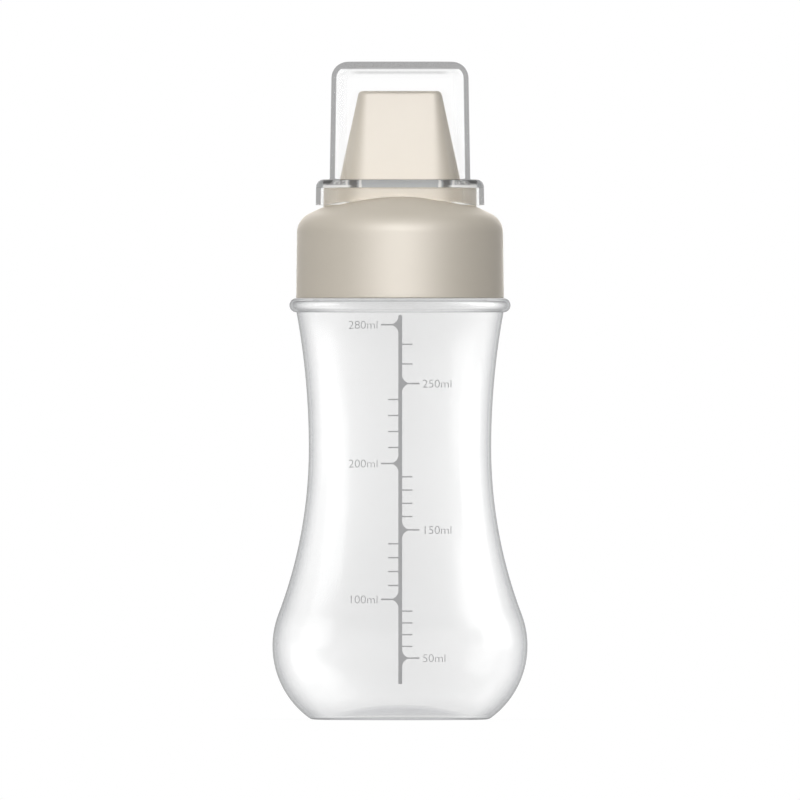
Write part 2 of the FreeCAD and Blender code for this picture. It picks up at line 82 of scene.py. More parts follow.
neck_thread_start = rim_height - neck_thread_gap - thread_pitch * neck_thread_turns
weld = 0.001 * MM
bottle_steps = 160
smooth_below = math.radians(32)


def arc(centre, radius, start, end, steps):
    """Points round a centre from one angle to another, in degrees."""
    angles = [math.radians(start + (end - start) * step / steps) for step in range(steps + 1)]
    return [(centre[0] + radius * math.cos(a), centre[1] + radius * math.sin(a)) for a in angles]


def rounded(corners, steps=6):
    """Points along a line of (radius, height, rounding) corners, each rounding drawn as an arc."""
    points = [corners[0][:2]]
    for before, (x, z, rounding), after in zip(corners, corners[1:], corners[2:]):
        if rounding == 0:
            points.append((x, z))
            continue
        back = math.atan2(before[1] - z, before[0] - x)
        opening = math.remainder(math.atan2(after[1] - z, after[0] - x) - back, 2 * math.pi)
        reach = rounding / math.sin(abs(opening) / 2)
        centre = (x + reach * math.cos(back + opening / 2), z + reach * math.sin(back + opening / 2))
        side = math.copysign(math.pi / 2, opening)
        start = math.degrees(back - side)
        sweep = math.degrees(opening) - math.copysign(180, opening)
        points += arc(centre, rounding, start, start + sweep, steps)
    return points + [corners[-1][:2]]


def wall_line(depth):
    """Points up the bottle's wall from the standing ring to the bead, at a depth in the wall."""
    corner = base_corner - depth
    belly = belly_radius - depth
    waist = waist_radius - depth
    shoulder = shoulder_radius - depth
    over = belly_curve - depth
    rise = belly_height - depth - corner
    inset = belly - standing_radius
    under = (inset**2 + rise**2 - corner**2) / (2 * (inset - corner))
    tuck = math.degrees(math.asin(rise / (under - corner)))
    swell = belly - waist
    hollow = ((over - swell) ** 2 + waist_rise**2 - over**2) / (2 * swell)
    lean = math.degrees(math.asin(waist_rise / (over + hollow)))
    drawn_in = shoulder - waist
    upper = (drawn_in**2 + shoulder_rise**2) / (2 * drawn_in)
    flare = math.degrees(math.asin(shoulder_rise / upper))
    return (
        arc((standing_radius, depth + corner), corner, -90, -tuck, 6)
        + arc((belly - under, belly_height), under, -tuck, 0, 18)[1:]
        + arc((belly - over, belly_height), over, 0, lean, 14)[1:]
        + arc((waist + hollow, waist_height), hollow, 180 + lean, 180, 26)[1:]
        + arc((waist + upper, waist_height), upper, 180, 180 - flare, 18)[1:]
    )


def draw_line(name, points):
    """A new piece: a line of edges through (radius, height) points, extruded corner by corner."""
    bpy.ops.object.select_all(action="DESELECT")
    bpy.ops.mesh.primitive_plane_add(size=MM)
    piece = bpy.context.active_object
    piece.name = name
    bpy.ops.object.mode_set(mode="EDIT")
    bpy.ops.mesh.merge(type="CENTER")
    bpy.ops.transform.translate(value=(points[0][0], 0, points[0][1]))
    for (x, z), (next_x, next_z) in zip(points, points[1:]):
        step = (next_x - x, 0, next_z - z)
        bpy.ops.mesh.extrude_region_move(TRANSFORM_OT_translate={"value": step})
    bpy.ops.object.mode_set(mode="OBJECT")
    return piece


def tidy_mesh(piece, fill=False):
    """Closes seams, poles and, where asked, open ends, and turns every face outwards."""
    bpy.ops.object.mode_set(mode="EDIT")
    bpy.ops.mesh.select_all(action="SELECT")
    bpy.ops.mesh.remove_doubles(threshold=weld)
    if fill:
        bpy.ops.mesh.fill_holes(sides=0)
        bpy.ops.mesh.select_all(action="SELECT")
    bpy.ops.mesh.normals_make_consistent(inside=False)
    bpy.ops.object.mode_set(mode="OBJECT")


def lathe(name, points, steps):
    """A new piece: a line of (radius, height) points spun once round the upright axis."""
    piece = draw_line(name, points)
    bpy.ops.object.mode_set(mode="EDIT")
    bpy.ops.mesh.select_all(action="SELECT")
    bpy.ops.mesh.spin(steps=steps, angle=2 * math.pi, center=(0, 0, 0), axis=(0, 0, 1))
    bpy.ops.object.mode_set(mode="OBJECT")
    tidy_mesh(piece)
    return piece


def thread_ridge(name, wall_radius, side, start, turns):
    """A right-hand thread with sloping flanks, rooted in a wall, side 1 outwards and -1 inwards."""
    root = wall_radius - side * thread_root
    crest = wall_radius + side * thread_depth
    section = [
        (root, start - thread_base / 2),
        (wall_radius, start - thread_base / 2),
        (crest, start - thread_crest / 2),
        (crest, start + thread_crest / 2),
        (wall_radius, start + thread_base / 2),
        (root, start + thread_base / 2),
        (root, start - thread_base / 2),
    ]
    ridge = draw_line(name, section)
    tidy_mesh(ridge)
    screw = ridge.modifiers.new("screw", "SCREW")
    screw.angle = turns * 2 * math.pi
    screw.screw_offset = turns * thread_pitch
    screw.steps = round(turns * thread_steps)
    screw.render_steps = screw.steps
    bpy.ops.object.modifier_apply(modifier=screw.name)
    tidy_mesh(ridge, fill=True)
    return ridge


def combine(piece, tool, operation):
    """Joins a tool to a piece, or cuts it away, and removes the tool."""
    modifier = piece.modifiers.new(operation, "BOOLEAN")
    modifier.operation = operation
    modifier.object = tool
    bpy.context.view_layer.objects.active = piece
    bpy.ops.object.modifier_apply(modifier=modifier.name)
    bpy.data.objects.remove(tool)


def smooth(piece):
    """Shades a piece smooth, with its sharp edges left sharp."""
    bpy.ops.object.select_all(action="DESELECT")
    piece.select_set(True)
    bpy.context.view_layer.objects.active = piece
    bpy.ops.object.shade_smooth_by_angle(angle=smooth_below)


push_up_edge = standing_radius - standing_ring
push_up_curve = (push_up_edge**2 + push_up**2) / (2 * push_up)
push_up_angle = math.degrees(math.acos(push_up_edge / push_up_curve))
push_up_line = arc((0, push_up - push_up_curve), push_up_curve, 90, push_up_angle, 28)
bead_middle = (shoulder_radius, shoulder_height + bead_round)
neck_line = rounded([
    (shoulder_radius, bead_top, 0),
    (neck_radius, bead_top, neck_foot_round),
    (neck_radius, rim_height, rim_round),
    (neck_bore, rim_height, rim_round),
    (neck_bore, bead_top - bead_wall, neck_foot_round),
    (shoulder_radius, bead_top - bead_wall, 0),
])
bottle = lathe(
    "bottle",
    push_up_line
    + wall_line(0)
    + arc(bead_middle, bead_round, -90, 90, 14)[1:]
    + neck_line[1:]
    + arc(bead_middle, bead_round - bead_wall, 90, -90, 10)[1:]
    + wall_line(bottle_wall)[::-1]
    + [(radius, height + bottle_wall) for radius, height in reversed(push_up_line)],
    bottle_steps,
)
neck_thread = thread_ridge("neck_thread", neck_radius, 1, neck_thread_start, neck_thread_turns)
combine(bottle, neck_thread, "UNION")
smooth(bottle)


class Shade:
    """A socket of a node tree, on which sums and products of values add their Math nodes."""

    def __init__(self, tree, socket=None):
        self.tree = tree
        self.socket = socket

    def node(self, kind, settings=None, sockets=None, output=0):
        """Adds a node of any type, sets it up, fills or links its sockets and returns an output."""
        made = self.tree.nodes.new(kind)
        for name, value in (settings or {}).items():
            setattr(made, name, value)
        for name, value in (sockets or {}).items():
            if isinstance(value, Shade):
                self.tree.links.new(value.socket, made.inputs[name])
            else:
                made.inputs[name].default_value = value
        return Shade(self.tree, made.outputs[output] if made.outputs else None)

    def math(self, operation, first, second):
        """One Math node on two values."""
        return self.node("ShaderNodeMath", {"operation": operation}, {0: first, 1: second})

    def or_more(self, other):
        """The larger of two values."""
        return self.math("MAXIMUM", self, other)

    def size(self):
        """A value without its sign."""
        return self.math("ABSOLUTE", self, 0)

    def __add__(self, other):
        return self.math("ADD", self, other)

    def __radd__(self, other):
        return self.math("ADD", other, self)

    def __sub__(self, other):
        return self.math("SUBTRACT", self, other)

    def __rsub__(self, other):
        return self.math("SUBTRACT", other, self)

    def __mul__(self, other):
        return self.math("MULTIPLY", self, other)

    def __rmul__(self, other):
        return self.math("MULTIPLY", other, self)

    def __pow__(self, other):
        return self.math("POWER", self, other)


def new_finish(name):
    """An empty material of nodes, and a shade to build it with."""
    material = bpy.data.materials.new(name)
    material.use_nodes = True
    material.node_tree.nodes.clear()
    return material, Shade(material.node_tree)


def screen(red, green, blue):
    """A colour given as it shows on a screen, 0 to 255, as the light that a shader takes."""
    levels = [level / 255 for level in (red, green, blue)]
    return (*[c / 12.92 if c <= 0.04045 else ((c + 0.055) / 1.055) ** 2.4 for c in levels], 1.0)


def place_on(shade, axis=None):
    """Where a point of a piece is, or how far it is along one axis."""
    place = shade.node("ShaderNodeTexCoord", output="Object")
    if axis is None:
        return place
    return shade.node("ShaderNodeSeparateXYZ", sockets={"Vector": place}, output=axis)


def grain(shade, size, detail=2.0, stretch=(1, 1, 1)):
    """Soft noise with features of about that size, stretched along the axes."""
    place = shade.node("ShaderNodeMapping", sockets={"Vector": place_on(shade), "Scale": stretch})
    return shade.node(
        "ShaderNodeTexNoise", sockets={"Vector": place, "Scale": 1 / size, "Detail": detail})


def two_tone(shade, share, first, second):
    """A colour that goes from the first to the second as a share goes from 0 to 1."""
    return shade.node(
        "ShaderNodeMix", {"data_type": "RGBA"}, {"Factor": share, 6: first, 7: second}, output=2)


def facing_away(shade):
    """How far a surface turns from the eye: 0 where it is met square on, 1 along its edge."""
    return shade.node("ShaderNodeLayerWeight", sockets={"Blend": 0.5}, output="Facing")


def step_up(value, low, high):
    """A soft step from 0 to 1 as a value rises from low to high."""
    return value.node(
        "ShaderNodeMapRange",
        {"interpolation_type": "SMOOTHSTEP"},
        {"Value": value, "From Min": low, "From Max": high},
    )


def seen_through(shade, tint=(1, 1, 1, 1)):
    """A clear wall, which may tint what shows through it."""
    return shade.node("ShaderNodeBsdfTransparent", sockets={"Color": tint})


def layer(shade, share, under, over):
    """One shader laid over another by a share."""
    return shade.node("ShaderNodeMixShader", sockets={"Fac": share, 1: under, 2: over})


# Shares of painted shade on the milky wall: at the foot of the standing ring, on the bead's top under
# the cap, and along the base corner.
foot_shade = 0.78
bead_top_shade = 0.22
base_corner_shade = 0.14
plastic_bend = 1.45


def thin_wall(name, haze_share, gloss_share, painted_shade_share, edge_tint):
    """A thin milky wall: open where it is met square on, denser along its edge, with a soft gloss, and
    painted shade at its foot, on the bead's top and along the base corner.
    """
    finish, shade = new_finish(name)
    cloud = grain(shade, 9 * MM)
    milk = two_tone(shade, cloud, screen(249, 251, 252), screen(254, 254, 254))
    streaks = grain(shade, 1.6 * MM, stretch=(1, 1, 0.04))
    fine = grain(shade, 0.35 * MM)
    skin = shade.node(
        "ShaderNodeBump",
        sockets={"Strength": 0.015, "Distance": 0.05 * MM, "Height": fine + 0.6 * streaks},
    )
    away = facing_away(shade)
    edge = shade.node("ShaderNodeMapRange", sockets={"Value": away, "From Min": 0.43, "From Max": 1.0})
    height = place_on(shade, "Z")
    level = shade.node(
        "ShaderNodeVectorMath", {"operation": "MULTIPLY"}, {0: place_on(shade), 1: (1, 1, 0)})
    from_axis = shade.node("ShaderNodeVectorMath", {"operation": "LENGTH"}, {0: level}, output="Value")
    past_ring = from_axis - standing_radius
    # Painted contact shade round the foot of the standing ring: a darker tint there, with less haze and
    # gloss.
    shaded_foot = 1 - step_up(height, 0.15 * bottle_wall, 0.5 * bottle_wall)
    shaded_foot = shaded_foot * step_up(past_ring, -0.3 * bottle_wall, 0.2 * bottle_wall)
    # Painted shade on the top of the bead, under the cap.
    under_bead_top = step_up(height, bead_top - 1.3 * bead_wall, bead_top - bead_wall)
    shaded_bead_top = under_bead_top * (1 - step_up(height, bead_top, bead_top + bottle_wall))
    # Painted shade along the base corner, darker towards the floor.
    corner = 1 - step_up(height, 0, 2.3 * base_corner)
    painted_shade = (foot_shade * shaded_foot).or_more(bead_top_shade * shaded_bead_top).or_more(base_corner_shade * corner)
    # Along the bead's top and just above it, under the cap, the edge is painted lighter, so that no dark
    # line shows there.
    over_bead = height - bead_top
    under_cap = step_up(over_bead, -0.5 * bottle_wall, 0)
    under_cap = under_cap * (1 - step_up(over_bead, 0.5 * bottle_wall, 1.5 * bottle_wall))
    edge = (edge**1.75 * (1 - 0.7 * under_cap)).or_more(painted_shade_share * painted_shade)
    clear = layer(shade, edge, seen_through(shade), seen_through(shade, edge_tint))
    haze = shade.node(
        "ShaderNodeBsdfPrincipled",
        sockets={
            "Base Color": milk,
            "Roughness": 0.4 + 0.1 * streaks,
            "IOR": plastic_bend,
            "Normal": skin,
        },
    )
    milkiness = haze_share * (0.9 + 0.2 * cloud) * (1 - 0.6 * shaded_foot)
    wall = layer(shade, milkiness, clear, haze)
    gloss = shade.node(
        "ShaderNodeBsdfAnisotropic", sockets={"Roughness": 0.2 + 0.04 * streaks, "Normal": skin})
    glossiness = gloss_share * (1 + 3 * away**5) * (1 - 0.9 * shaded_foot)
    wall = layer(shade, glossiness, wall, gloss)
    shade.node("ShaderNodeOutputMaterial", sockets={"Surface": wall})
    return finish


def line_inside(piece, finish, is_inside):
    """Gives the faces that line a hollow piece a finish of their own."""
    piece.data.materials.append(finish)
    piece.active_material_index = len(piece.data.materials) - 1
    bpy.ops.object.mode_set(mode="EDIT")
    bpy.ops.mesh.select_all(action="DESELECT")
    for face in bmesh.from_edit_mesh(piece.data).faces:
        face.select_set(is_inside(face.calc_center_median(), face.normal))
    bpy.ops.object.material_slot_assign()
    bpy.ops.object.mode_set(mode="OBJECT")


def pushed_up_base(name, tint):
    """The pushed-up base: a grey veil of painted shade over what shows through it, soft towards its
    crown.
    """
    finish, shade = new_finish(name)
    cloud = grain(shade, 5 * MM)
    met_square = 1 - facing_away(shade)
    to_crown = step_up(place_on(shade, "Z"), 0, push_up)
    share = step_up(met_square, 0, 0.2) * (0.9 + 0.2 * cloud) * (0.4 + 0.6 * to_crown)
    wall = layer(shade, share, seen_through(shade), seen_through(shade, tint))
    milk = screen(252, 252, 252)
    haze = shade.node(
        "ShaderNodeBsdfPrincipled",
        sockets={"Base Color": milk, "Roughness": 0.4 + 0.1 * cloud, "IOR": plastic_bend},
    )
    wall = layer(shade, 0.02 + 0.01 * cloud, wall, haze)
    shade.node("ShaderNodeOutputMaterial", sockets={"Surface": wall})
    return finish


def inside_bottle(middle, normal):
    """True on the inner side of the bottle's wall, up to its rim."""
    to_axis = normal.xy.dot(middle.xy.normalized()) < -0.02
    beside_bead = shoulder_height < middle.z < bead_top
    in_bead = beside_bead and middle.xy.length > shoulder_radius - bottle_wall
    return to_axis and not in_bead


def base_floor(middle, normal):
    """True on the pushed-up part of the floor inside the bottle."""
    return normal.z > 0 and middle.xy.length < push_up_edge and middle.z < belly_height


def clear_of_base(middle, normal):
    """True on the underside of the pushed-up base, and on the flat ring of floor round it."""
    if normal.z < 0:
        return middle.xy.length < push_up_edge
    return normal.z > 0.9 and push_up_edge < middle.xy.length and middle.z < 2 * bottle_wall


edge_grey = screen(138, 140, 142)
skin_grey = screen(242, 242, 243)
# Painted shade, seen through the pushed-up base from inside and from underneath.
punt_shade_grey = screen(246, 246, 247)
underside_shade_grey = screen(253, 253, 253)
bottle.data.materials.append(thin_wall("milky_soft_plastic", 0.14, 0.055, 1.0, edge_grey))
line_inside(bottle, thin_wall("milky_inner_skin", 0.02, 0.0, 0.0, skin_grey), inside_bottle)
line_inside(bottle, pushed_up_base("milky_base_floor", punt_shade_grey), base_floor)
line_inside(bottle, pushed_up_base("milky_underside", underside_shade_grey), clear_of_base)
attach(bottle, "bottle")
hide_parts("bottle_body")

# Measuring scale. Grey ink screen-printed up the front of the bottle: a bar, a mark for every
# ten millilitres and a longer one with its volume at every fifty, to the left and right in turn.
scale_middle = 0.07 * MM
bar_width = 1.08 * MM
bar_foot = 10.3 * MM
bar_head = 114.64 * MM
bar_round = 0.45 * MM
volumes = {
    280: 111.87 * MM,
    250: 95.22 * MM,
    200: 72.61 * MM,
    150: 53.83 * MM,
    100: 34.21 * MM,
    50: 17.62 * MM,
}
mark_step = 10
mark_length = 2.9 * MM
mark_width = 0.37 * MM
long_mark_length = 4.9 * MM
long_mark_width = 0.43 * MM
flare_height = 1.82 * MM
flare_reach = 1.53 * MM
flare_bend = (0.345 * MM, 0.55 * MM)
flare_round = 2.7 * MM
figure_height = 3.3 * MM
figure_stretch = 1.04
figure_thinning = 0.055 * MM
figure_gap = 0.75 * MM
figure_drop = 1.15 * MM
ink_thickness = 0.04 * MM
ink_root = 0.01 * MM
ink_fold = 1.0 * MM
print_reach = 14 * MM


def flat_shape(name, points):
    """A flat closed outline of (x, z) points, filled with one face."""
    shape = draw_line(name, points + points[:1])
    tidy_mesh(shape)
    bpy.ops.object.mode_set(mode="EDIT")
    bpy.ops.mesh.select_all(action="SELECT")
    bpy.ops.mesh.edge_face_add()
    bpy.ops.object.mode_set(mode="OBJECT")
    return shape


def mark(side, height, length, width, flared=False):
    """A level mark on one side of the bar, which may widen into the bar."""
    edge = scale_middle + side * bar_width / 2
    end = edge + side * length
    half = width / 2
    lower = [(edge, height - half)]
    if flared:
        lower = rounded([
            (edge, height - half - flare_height, 0),
            (edge + side * flare_bend[0], height - half - flare_bend[1], flare_round),
            (edge + side * flare_reach, height - half, 0),
        ])
    lower.append((end, height - half))
    upper = [(x, 2 * height - z) for x, z in reversed(lower)]
    return flat_shape("mark", lower + upper)


def figures(text, side, height):
    """A volume written beside its long mark."""
    bpy.ops.object.select_all(action="DESELECT")
    start = scale_middle + side * (bar_width / 2 + long_mark_length + figure_gap)
    bpy.ops.object.text_add(location=(start, 0, height - figure_drop), rotation=(math.pi / 2, 0, 0))
    label = bpy.context.active_object
    label.data.body = text
    label.data.size = figure_height
    label.data.offset = -figure_thinning
    label.data.align_x = "LEFT" if side > 0 else "RIGHT"
    label.scale.x = figure_stretch
    bpy.ops.object.convert(target="MESH")
    bpy.ops.object.transform_apply(location=True, rotation=True, scale=True)
    return bpy.context.active_object


bar = rounded([
    (scale_middle, bar_foot, 0),
    (scale_middle + bar_width / 2, bar_foot, 0),
    (scale_middle + bar_width / 2, bar_head, bar_round),
    (scale_middle - bar_width / 2, bar_head, bar_round),
    (scale_middle - bar_width / 2, bar_foot, 0),
    (scale_middle, bar_foot, 0),
])
prints = [flat_shape("bar", bar[:-1])]
side = -1
above = None
for volume, height in volumes.items():
    if above:
        upper_volume, upper_height = above
        spacing = mark_step * (upper_height - height) / (upper_volume - volume)
        for step in range(1, (upper_volume - volume) // mark_step):
            prints.append(mark(side, height + step * spacing, mark_length, mark_width))
    prints.append(mark(side, height, long_mark_length, long_mark_width, flared=True))
    prints.append(figures(f"{volume}ml", side, height))
    above = (volume, height)
    side = -side
bpy.ops.object.select_all(action="DESELECT")
for shape in prints:
    shape.select_set(True)
scale = prints[0]
bpy.context.view_layer.objects.active = scale
bpy.ops.object.join()
scale.name = "measuring_scale"

# The flat print is cut into small fields, laid on the front of the bottle and given its thickness.
bpy.ops.object.mode_set(mode="EDIT")
columns = round(print_reach / ink_fold)
rows = round(bar_head / ink_fold / 2)
cuts = [((at * ink_fold, 0, 0), (1, 0, 0)) for at in range(-columns, columns)]
cuts += [((0, 0, at * 2 * ink_fold), (0, 0, 1)) for at in range(rows + 1)]
for place, normal in cuts:
    bpy.ops.mesh.select_all(action="SELECT")
    bpy.ops.mesh.bisect(plane_co=place, plane_no=normal)
bpy.ops.mesh.select_all(action="DESELECT")
for field in bmesh.from_edit_mesh(scale.data).faces:
    field.select_set(field.normal.y > 0)
bpy.ops.mesh.flip_normals()
bpy.ops.mesh.select_all(action="SELECT")
bpy.ops.transform.translate(value=(0, -2 * belly_radius, 0))
bpy.ops.object.mode_set(mode="OBJECT")
wrap = scale.modifiers.new("wrap", "SHRINKWRAP")
wrap.target = bottle
wrap.wrap_method = "PROJECT"
wrap.use_project_y = True
wrap.offset = ink_thickness - ink_root
bpy.ops.object.modifier_apply(modifier=wrap.name)
body = scale.modifiers.new("body", "SOLIDIFY")
body.thickness = ink_thickness
bpy.ops.object.modifier_apply(modifier=body.name)


def speckled(name, size, dark, light, roughness):
    """An opaque finish in two close tones, which is rougher where it is lighter."""
    finish, shade = new_finish(name)
    speckle = grain(shade, size, 4.0)
    colour = two_tone(shade, speckle, dark, light)
    surface = shade.node(
        "ShaderNodeBsdfPrincipled",
        sockets={"Base Color": colour, "Roughness": roughness + 0.2 * speckle},
    )
    shade.node("ShaderNodeOutputMaterial", sockets={"Surface": surface})
    return finish


ink = speckled("grey_ink", 0.5 * MM, screen(158, 158, 159), screen(174, 174, 175), 0.45)
scale.data.materials.append(ink)
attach(scale, "bottle")

# Seal ring. A soft rubber washer with rounded edges, between the rim of the neck and the ledge in
# the cap. It keeps the bottle tight when it is squeezed, and rises with the cap.
seal_low, seal_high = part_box("seal_ring")
seal_bore = neck_bore - 1.0 * MM
seal_round = 0.35 * MM
seal_steps = 96
seal_middle = (seal_bore + seal_high.x) / 2
seal = lathe(
    "seal",
    rounded([
        (seal_middle, seal_low.z, 0),
        (seal_high.x, seal_low.z, seal_round),
        (seal_high.x, seal_high.z, seal_round),
        (seal_bore, seal_high.z, seal_round),
        (seal_bore, seal_low.z, seal_round),
        (seal_middle, seal_low.z, 0),
    ]),
    seal_steps,
)
smooth(seal)
rubber = speckled("soft_rubber", 0.6 * MM, screen(206, 204, 198), screen(220, 218, 212), 0.55)
seal.data.materials.append(rubber)
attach(seal, "seal")
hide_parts("seal_ring")

# Screw cap. Injection-moulded in beige satin plastic: a slightly drafted wall, a shallow dome and
# a long-oval collar that carries the nozzle. Its thread and its sealing ledge are inside.
cap_low, cap_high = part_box("screw_cap")
cap_radius = cap_high.x
cap_bottom = cap_low.z
collar_top = cap_high.z
cap_play = 0.4 * MM
cap_bore = neck_radius + thread_depth + cap_play
cap_ledge = seal_high.z
cap_top_radius = cap_radius - 0.2 * MM
shoulder_curve = 6.0 * MM
shoulder_start = cap_ledge - 2.0 * MM
shoulder_centre = cap_top_radius - shoulder_curve
dome_top = cap_ledge + 9.6 * MM
dome_wall = 1.6 * MM
ledge_radius = seal_bore - 0.5 * MM
cap_edge_round = 0.12 * MM
inner_round = 0.3 * MM
spout_flat = 9.0 * MM
collar_radius = 12.7 * MM
collar_round = 0.35 * MM
collar_bore = collar_radius - 1.6 * MM
collar_plate = 1.8 * MM
flange_top = collar_top - collar_plate
nozzle_radius = 8.62 * MM
nozzle_play = 0.1 * MM
snap_height = 0.3 * MM
snap_width = 0.5 * MM
nozzle_flange = 1.5 * MM
snap_middle = flange_top - nozzle_flange / 2
cap_thread_turns = 1.0
thread_play = 0.25 * MM
cap_steps = 160
oval_steps = 130
stiff_bend = 1.49


def along_wall(top, bottom, ends=(0.05, 0.95)):
    """Corners near both ends of a straight wall, which keep its shading even from end to end."""
    return [
        (top[0] + share * (bottom[0] - top[0]), top[1] + share * (bottom[1] - top[1]), 0)
        for share in ends
    ]


rise = dome_top - shoulder_start
dome_curve = (shoulder_centre**2 + rise**2 - shoulder_curve**2) / (2 * (rise - shoulder_curve))
dome_middle = dome_top - dome_curve
dome_edge = math.degrees(math.atan2(shoulder_start - dome_middle, shoulder_centre))
under_dome = dome_curve - dome_wall
spring = math.degrees(math.acos(ledge_radius / under_dome))
cap = lathe(
    "cap",
    arc((0, dome_middle), dome_curve, 90, dome_edge, 22)
    + arc((shoulder_centre, shoulder_start), shoulder_curve, dome_edge, 0, 14)[1:]
    + rounded([
        (cap_top_radius, shoulder_start, 0),
        *along_wall((cap_top_radius, shoulder_start), (cap_radius, cap_bottom)),
        (cap_radius, cap_bottom, cap_edge_round),
        (0, cap_bottom, 0),
    ])[1:],
    cap_steps,
)
hollow = lathe(
    "hollow",
    rounded([
        (0, cap_bottom - MM, 0),
        (cap_bore, cap_bottom - MM, 0),
        (cap_bore, cap_ledge, inner_round),
        (ledge_radius, cap_ledge, inner_round),
        (ledge_radius, dome_middle + under_dome * math.sin(math.radians(spring)), 0),
    ])
    + arc((0, dome_middle), under_dome, spring, 90, 18)[1:],
    cap_steps,
)


def long_oval(name, points):
    """A round piece pulled apart along X into a long oval, with its open ends filled."""
    piece = lathe(name, points, oval_steps)
    bpy.ops.object.mode_set(mode="EDIT")
    for side in (-1, 1):
        bpy.ops.mesh.select_all(action="DESELECT")
        mesh = bmesh.from_edit_mesh(piece.data)
        for corner in mesh.verts:
            corner.select_set(side * corner.co.x > 0)
        mesh.select_flush_mode()
        bpy.ops.transform.translate(value=(side * spout_flat, 0, 0))
    bpy.ops.object.mode_set(mode="OBJECT")
    tidy_mesh(piece, fill=True)
    return piece


def oval_block(name, radius, bottom, top, rounding=0):
    """A solid long oval between two heights, with its upper edge rounded."""
    return long_oval(
        name,
        rounded([(radius, bottom, 0), (radius, top, rounding), (radius - collar_plate, top, 0)]),
    )


combine(cap, oval_block("collar", collar_radius, cap_ledge, collar_top, collar_round), "UNION")
combine(cap, hollow, "DIFFERENCE")
combine(cap, oval_block("seat", collar_bore, cap_ledge - MM, flange_top), "DIFFERENCE")
snap_room = snap_width / 2 + nozzle_play
combine(
    cap,
    oval_block("groove", collar_bore + snap_height, snap_middle - snap_room, snap_middle + snap_room),
    "DIFFERENCE",
)
combine(cap, oval_block("slot", nozzle_radius + nozzle_play, cap_ledge, collar_top + MM), "DIFFERENCE")
flank_slope = (thread_base - thread_crest) / thread_depth
flank_to_flank = 2 * thread_base - flank_slope * (cap_bore - neck_radius)
cap_thread_start = neck_thread_start - flank_to_flank / 2 - thread_play
combine(cap, thread_ridge("cap_thread", cap_bore, -1, cap_thread_start, cap_thread_turns), "UNION")
smooth(cap)

beige_finish, shade = new_finish("beige_satin_plastic")
cloud = grain(shade, 14 * MM)
beige = two_tone(shade, cloud, screen(224, 215, 199), screen(229, 220, 205))
fine = grain(shade, 0.22 * MM, 3.0)
skin = shade.node("ShaderNodeBump", sockets={"Strength": 0.12, "Distance": 0.03 * MM, "Height": fine})
plastic = shade.node(
    "ShaderNodeBsdfPrincipled",
    sockets={"Base Color": beige, "Roughness": 0.53 + 0.1 * fine, "IOR": stiff_bend, "Normal": skin},
)
shade.node("ShaderNodeOutputMaterial", sockets={"Surface": plastic})
cap.data.materials.append(beige_finish)
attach(cap, "cap")
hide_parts("screw_cap")

# Nozzle. A tapered long-oval spout in the same beige plastic, pushed into the collar from below
# until its bead snaps in. Five outlets in a row lay five lines of sauce at once.
nozzle_low, nozzle_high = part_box("nozzle")
nozzle_top = nozzle_high.z
nozzle_bottom = nozzle_low.z
nozzle_taper = math.tan(math.radians(12.25))
nozzle_wall = 1.5 * MM
nozzle_roof = 2.0 * MM
tip_round = 1.3 * MM
foot_round = 0.25 * MM
outlet_count = 5
outlet_radius = 1.3 * MM
outlet_pitch = 4.4 * MM
outlet_edge = 0.2 * MM
outlet_steps = 32

nozzle_height = nozzle_top - collar_top
tip_radius = nozzle_radius - nozzle_height * nozzle_taper
bore = nozzle_radius - nozzle_wall
roof_radius = bore - (nozzle_height - nozzle_roof) * nozzle_taper
flange_radius = collar_bore - nozzle_play
nozzle = long_oval(
    "nozzle_spout",
    rounded([
        (tip_radius - 1.2 * tip_round, nozzle_top, 0),
        (tip_radius, nozzle_top, tip_round),
        *along_wall((tip_radius, nozzle_top), (nozzle_radius, collar_top)),
        (nozzle_radius, collar_top, 0),
        (nozzle_radius, flange_top, 0),
        (flange_radius, flange_top, foot_round),
        (flange_radius, snap_middle + snap_width / 2, 0),
        (flange_radius + snap_height, snap_middle, 0),
        (flange_radius, snap_middle - snap_width / 2, 0),
        (flange_radius, nozzle_bottom, foot_round),
        (bore, nozzle_bottom, foot_round),
        (bore, collar_top, 0),
        (roof_radius, nozzle_top - nozzle_roof, 0),
        (roof_radius / 2, nozzle_top - nozzle_roof, 0),
    ]),
)
for place in range(outlet_count):
    along = (place - (outlet_count - 1) / 2) * outlet_pitch
    outlet = lathe(
        "outlet",
        [
            (0, nozzle_top - 2 * nozzle_roof),
            (outlet_radius, nozzle_top - 2 * nozzle_roof),
            (outlet_radius, nozzle_top - outlet_edge),
            (outlet_radius + 2 * outlet_edge, nozzle_top + outlet_edge),
            (0, nozzle_top + outlet_edge),
        ],
        outlet_steps,
    )
    outlet.location.x = along
    bpy.ops.object.transform_apply(location=True, rotation=False, scale=False)
    combine(nozzle, outlet, "DIFFERENCE")
smooth(nozzle)
nozzle.data.materials.append(beige_finish)
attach(nozzle, "cap")
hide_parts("nozzle")

# Dust cover. A hood of clear stiff plastic over the nozzle. Its flange rests on the collar, and a
# short skirt slips over the collar's sides, with its lower edge following the dome.
cover_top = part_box("dust_cover")[1].z
cover_draft = math.tan(math.radians(1.0))
cover_hem = collar_top - 5.0 * MM
cover_shelf = collar_top + 2.4 * MM
cover_ceiling = cover_top - 2.2 * MM
cover_bore = nozzle_radius + 0.82 * MM
cover_wall = 1.5 * MM
skirt_bore = collar_radius + 0.25 * MM
skirt_radius = skirt_bore + 1.95 * MM
flange_round = 2.1 * MM
crown_round = 4.6 * MM
ceiling_round = 3.3 * MM
hem_round = 0.3 * MM
inside_corner = 0.35 * MM
dome_gap = 0.4 * MM
seat_gap = 0.06 * MM

